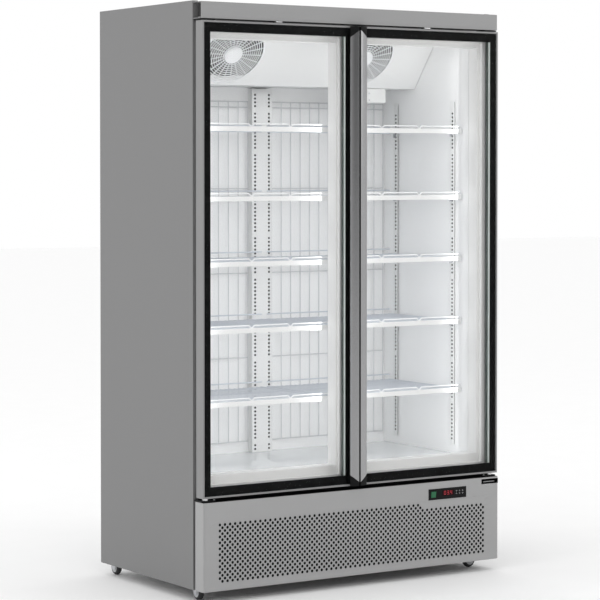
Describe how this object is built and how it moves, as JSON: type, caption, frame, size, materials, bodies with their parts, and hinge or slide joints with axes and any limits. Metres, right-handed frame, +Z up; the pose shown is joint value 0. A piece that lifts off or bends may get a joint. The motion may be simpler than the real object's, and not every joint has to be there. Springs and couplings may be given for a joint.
{
  "type": "glass door merchandiser",
  "caption": "Upright double-door display refrigerator with glazed hinged doors, adjustable wire shelves, vented base cover and swivel castors.",
  "frame": {"origin": "centre of the overall footprint at floor level, under the castor wheels", "axes": "+Z up, doors face -Y, +X to the right when facing the doors"},
  "size_m": [1.2, 0.7071, 1.94],
  "materials": {
    "side_paint": "mid-grey satin paint",
    "front_paint": "lighter grey satin paint",
    "white_liner": "white semi-gloss liner",
    "white_metal": "white powder coat",
    "white_wire": "white plastic-coated wire",
    "door_aluminium": "grey anodised, satin",
    "door_glass": "clear double glazing with a black printed border",
    "white_gasket": "white magnetic gasket",
    "black_plastic": "fine textured",
    "green_rocker": "translucent, lit",
    "hinge_steel": "bright zinc plated",
    "zinc_steel": "zinc plated pressed steel",
    "castor_tyre": "black rubber tread",
    "coil_aluminium": "finned aluminium",
    "compressor_black": "black enamelled steel"
  },
  "bodies": {
    "root": {"side_panel_left": "side_paint", "side_panel_right": "side_paint", "insulated_roof": "side_paint", "insulated_wall_left": "white_liner", "insulated_wall_right": "white_liner", "insulated_rear_wall": "white_liner", "insulated_floor": "white_liner", "front_frame": "white_liner", "header_fascia": "front_paint", "base_front_panel": "front_paint", "base_tray": "side_paint", "upright_rear_centre": "white_metal", "upright_front_centre": "white_metal", "standard_left_front": "white_metal", "standard_left_rear": "white_metal", "standard_right_front": "white_metal", "standard_right_rear": "white_metal", "wire_guard_left": "white_wire", "wire_guard_right": "white_wire", "evaporator_cover": "white_metal", "evaporator_coil": "coil_aluminium", "fan_guard_left": "white_wire", "fan_guard_right": "white_wire", "control_panel": "black_plastic", "compressor": "compressor_black", "condenser": "coil_aluminium", "shelf_left_1": "white_wire", "shelf_left_2": "white_wire", "shelf_left_3": "white_wire", "shelf_left_4": "white_wire", "shelf_left_5": "white_wire", "hinge_left_bottom": "hinge_steel", "hinge_left_top": "hinge_steel", "shelf_right_1": "white_wire", "shelf_right_2": "white_wire", "shelf_right_3": "white_wire", "shelf_right_4": "white_wire", "shelf_right_5": "white_wire", "hinge_right_bottom": "hinge_steel", "hinge_right_top": "hinge_steel"},
    "door_left": {"door_frame_left": "door_aluminium", "door_glass_left": "door_glass", "door_gasket_left": "white_gasket", "door_handle_left": "door_aluminium"},
    "evaporator_fan_left": {"fan_blade_left": "black_plastic"},
    "door_right": {"door_frame_right": "door_aluminium", "door_glass_right": "door_glass", "door_gasket_right": "white_gasket", "door_handle_right": "door_aluminium"},
    "evaporator_fan_right": {"fan_blade_right": "black_plastic"},
    "condenser_fan": {"condenser_fan_blade": "black_plastic"},
    "rocker": {"rocker_switch": "green_rocker"},
    "castor_front_left": {"castor_fork_front_left": "zinc_steel"},
    "wheel_front_left": {"castor_wheel_front_left": "castor_tyre"},
    "castor_front_right": {"castor_fork_front_right": "zinc_steel"},
    "wheel_front_right": {"castor_wheel_front_right": "castor_tyre"},
    "castor_rear_left": {"castor_fork_rear_left": "zinc_steel"},
    "wheel_rear_left": {"castor_wheel_rear_left": "castor_tyre"},
    "castor_rear_right": {"castor_fork_rear_right": "zinc_steel"},
    "wheel_rear_right": {"castor_wheel_rear_right": "castor_tyre"}
  },
  "joints": [
    {"name": "door_left_hinge", "type": "hinge", "parent": "root", "child": "door_left", "pos_m": [-0.5765, -0.31, 1.1], "axis": [0, 0, -1], "range_deg": [0, 100]},
    {"name": "door_right_hinge", "type": "hinge", "parent": "root", "child": "door_right", "pos_m": [0.5765, -0.31, 1.1], "axis": [0, 0, 1], "range_deg": [0, 100]},
    {"name": "evaporator_fan_left_spin", "type": "hinge", "parent": "root", "child": "evaporator_fan_left", "pos_m": [-0.27, 0.01725, 1.789], "axis": [0, -0.7914, -0.6113], "continuous": true},
    {"name": "evaporator_fan_right_spin", "type": "hinge", "parent": "root", "child": "evaporator_fan_right", "pos_m": [0.27, 0.01725, 1.789], "axis": [0, -0.7914, -0.6113], "continuous": true},
    {"name": "condenser_fan_spin", "type": "hinge", "parent": "root", "child": "condenser_fan", "pos_m": [-0.2, -0.152, 0.2], "axis": [0, -1, 0], "continuous": true},
    {"name": "rocker_tilt", "type": "hinge", "parent": "root", "child": "rocker", "pos_m": [0.318, -0.3345, 0.2852], "axis": [-1, 0, 0], "range_deg": [0, 14]},
    {"name": "castor_front_left_swivel", "type": "hinge", "parent": "root", "child": "castor_front_left", "pos_m": [-0.561, -0.2295, 0.065], "axis": [0, 0, 1], "continuous": true},
    {"name": "wheel_front_left_spin", "type": "hinge", "parent": "castor_front_left", "child": "wheel_front_left", "pos_m": [-0.561, -0.2415, 0.025], "axis": [1, 0, 0], "continuous": true},
    {"name": "castor_front_right_swivel", "type": "hinge", "parent": "root", "child": "castor_front_right", "pos_m": [0.561, -0.2295, 0.065], "axis": [0, 0, 1], "continuous": true},
    {"name": "wheel_front_right_spin", "type": "hinge", "parent": "castor_front_right", "child": "wheel_front_right", "pos_m": [0.549, -0.2295, 0.025], "axis": [0, 1, 0], "continuous": true},
    {"name": "castor_rear_left_swivel", "type": "hinge", "parent": "root", "child": "castor_rear_left", "pos_m": [-0.561, 0.3, 0.065], "axis": [0, 0, 1], "continuous": true},
    {"name": "wheel_rear_left_spin", "type": "hinge", "parent": "castor_rear_left", "child": "wheel_rear_left", "pos_m": [-0.561, 0.312, 0.025], "axis": [1, 0, 0], "continuous": true},
    {"name": "castor_rear_right_swivel", "type": "hinge", "parent": "root", "child": "castor_rear_right", "pos_m": [0.561, 0.3, 0.065], "axis": [0, 0, 1], "continuous": true},
    {"name": "wheel_rear_right_spin", "type": "hinge", "parent": "castor_rear_right", "child": "wheel_rear_right", "pos_m": [0.561, 0.312, 0.025], "axis": [1, 0, 0], "continuous": true}
  ]
}
